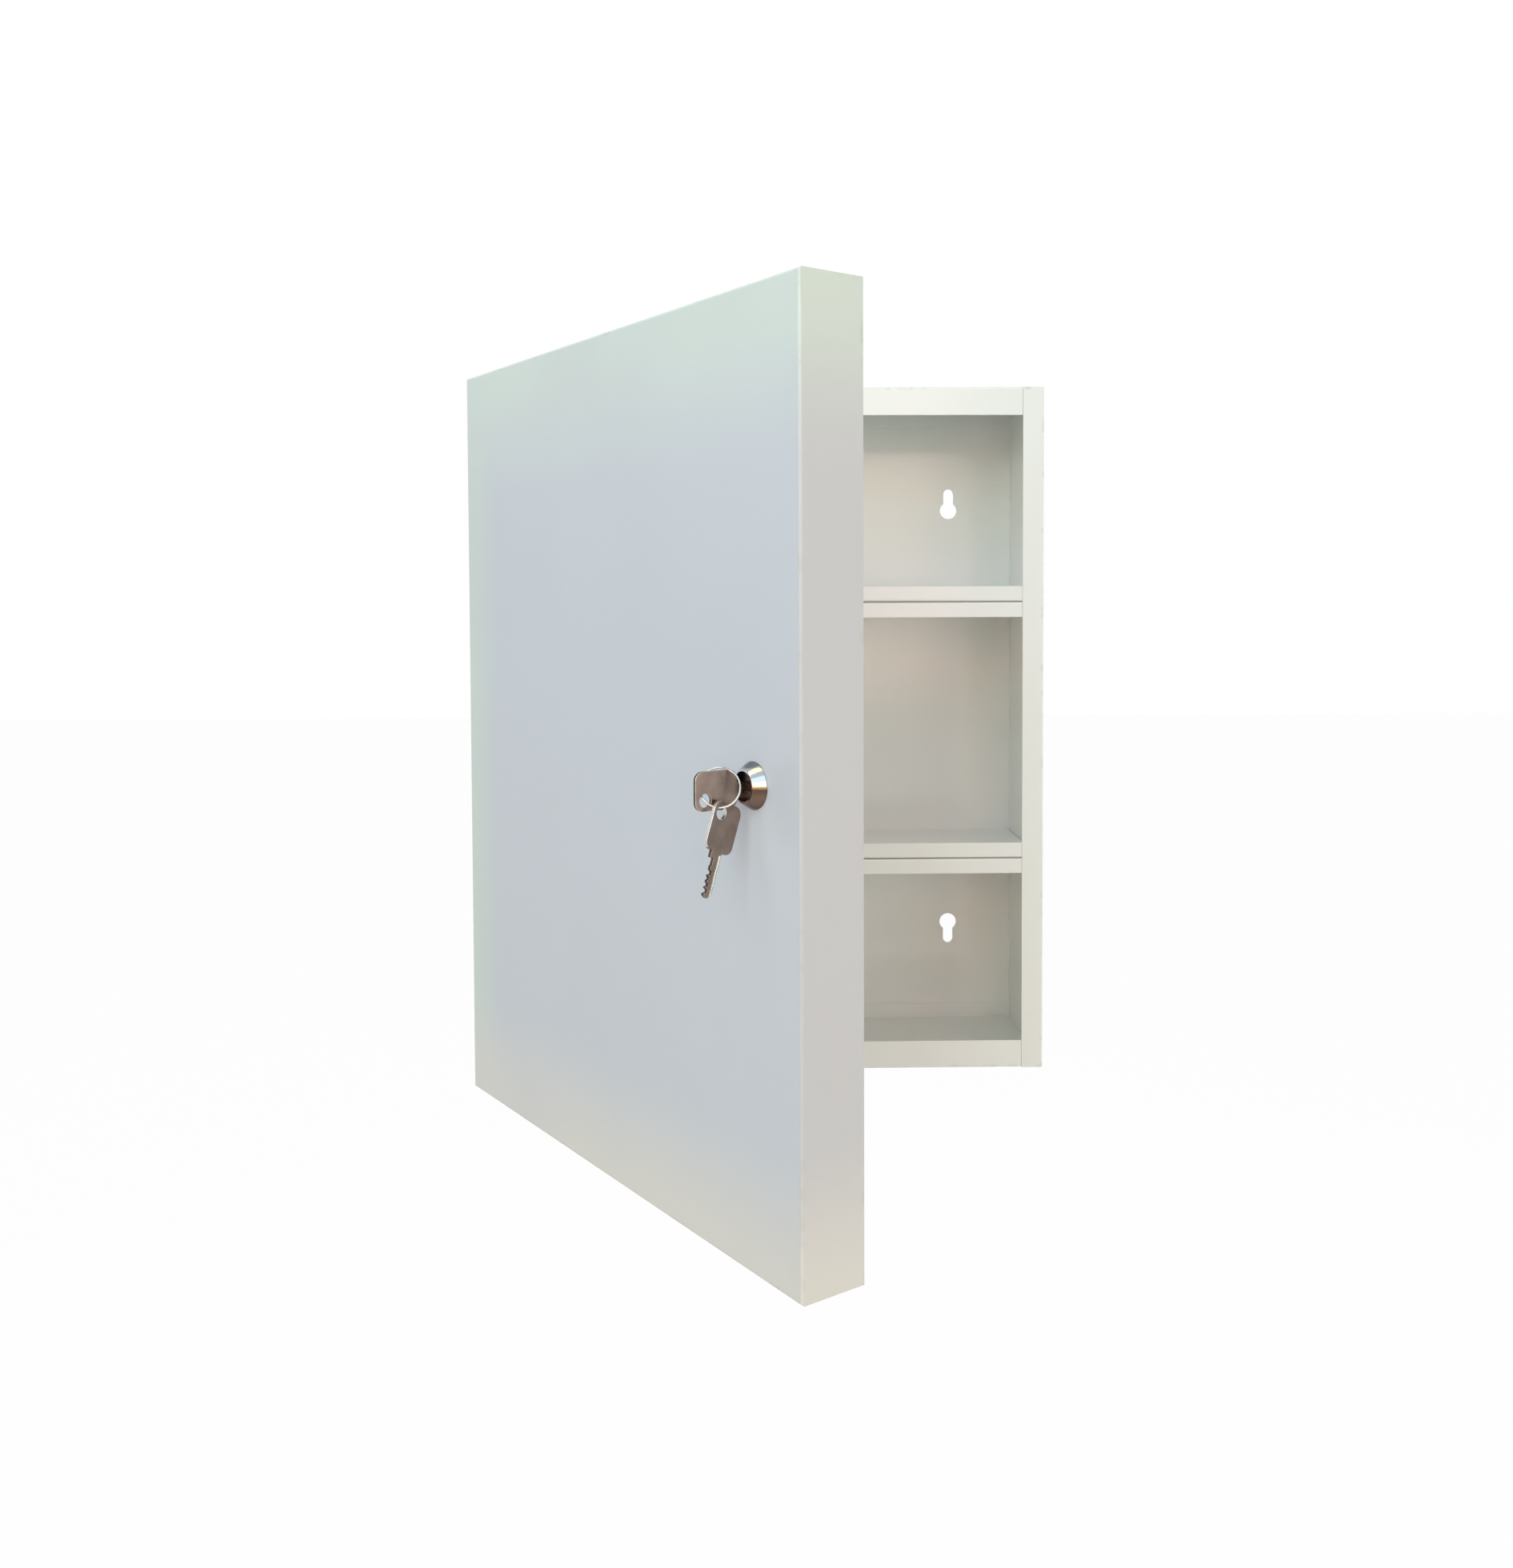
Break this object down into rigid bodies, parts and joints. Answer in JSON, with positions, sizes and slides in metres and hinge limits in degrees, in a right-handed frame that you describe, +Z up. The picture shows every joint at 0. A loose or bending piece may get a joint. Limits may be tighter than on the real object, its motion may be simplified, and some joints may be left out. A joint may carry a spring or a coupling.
{
  "type": "lockable medicine cabinet",
  "caption": "Wall-hung steel cabinet with a lipped pan door on pin hinges, two fixed shelves, keyhole wall slots and a cam lock with its keys.",
  "frame": {"origin": "centre of the flat wall face at the back of the cabinet", "axes": "+X to the right, +Y back into the wall, +Z up; the door opens about a vertical axis at the left"},
  "size_m": [0.3691, 0.4211, 0.45],
  "materials": {
    "body_paint": "satin powder coat, faintly textured, off-white",
    "shelf_paint": "satin powder coat, off-white",
    "door_paint": "satin powder coat, off-white with a cool cast",
    "hinge_steel": "painted with the body",
    "zinc_plate": "bright zinc plate",
    "nylon": "natural nylon",
    "nickel": "polished nickel with a brown cast",
    "nickel_dark": "dull nickel, worn at the keyway",
    "key_nickel": "nickel-plated brass, satin",
    "brass": "stamped brass"
  },
  "bodies": {
    "cabinet": {"body_wrap": "body_paint", "top_panel": "body_paint", "bottom_panel": "body_paint", "upper_shelf_tray": "shelf_paint", "upper_shelf_liner": "shelf_paint", "lower_shelf_tray": "shelf_paint", "lower_shelf_liner": "shelf_paint", "upper_hinge_plate": "hinge_steel", "lower_hinge_plate": "hinge_steel"},
    "door": {"door_panel": "door_paint", "upper_hinge_pin": "zinc_plate", "lower_hinge_pin": "zinc_plate", "upper_hinge_washer": "nylon", "lower_hinge_washer": "nylon", "lock_housing": "nickel", "lock_tooth_washer": "zinc_plate", "lock_nut": "zinc_plate"},
    "plug": {"lock_plug": "nickel_dark", "wafer_tumblers": "brass", "cam_stop_washer": "zinc_plate", "lock_cam": "zinc_plate", "cam_screw": "zinc_plate"},
    "working_key": {"key": "key_nickel"},
    "ring": {"key_ring": "key_nickel"},
    "hanging_key": {"spare_key": "key_nickel"}
  },
  "joints": [
    {"name": "door_hinge", "type": "hinge", "parent": "cabinet", "child": "door", "pos_m": [-0.17, -0.121, 0], "axis": [0, 0, -1], "range_deg": [-55.5, 64.5]},
    {"name": "lock_turn", "type": "hinge", "parent": "door", "child": "plug", "pos_m": [-0.0186, -0.39249, 0], "axis": [0.8241, 0.5664, 0], "range_deg": [0, 90]},
    {"name": "key_pull", "type": "slide", "parent": "plug", "child": "working_key", "axis": [-0.8241, -0.5664, 0], "range_m": [0, 0.024]},
    {"name": "ring_swing", "type": "hinge", "parent": "working_key", "child": "ring", "pos_m": [-0.04003, -0.40722, -0.00501], "axis": [-0.4308, -0.2961, -0.8525], "range_deg": [0, 45]},
    {"name": "spare_key_swing", "type": "hinge", "parent": "ring", "child": "hanging_key", "pos_m": [-0.03339, -0.40782, -0.00776], "axis": [-0.999, -0.0436, 0], "range_deg": [0, 45]}
  ]
}
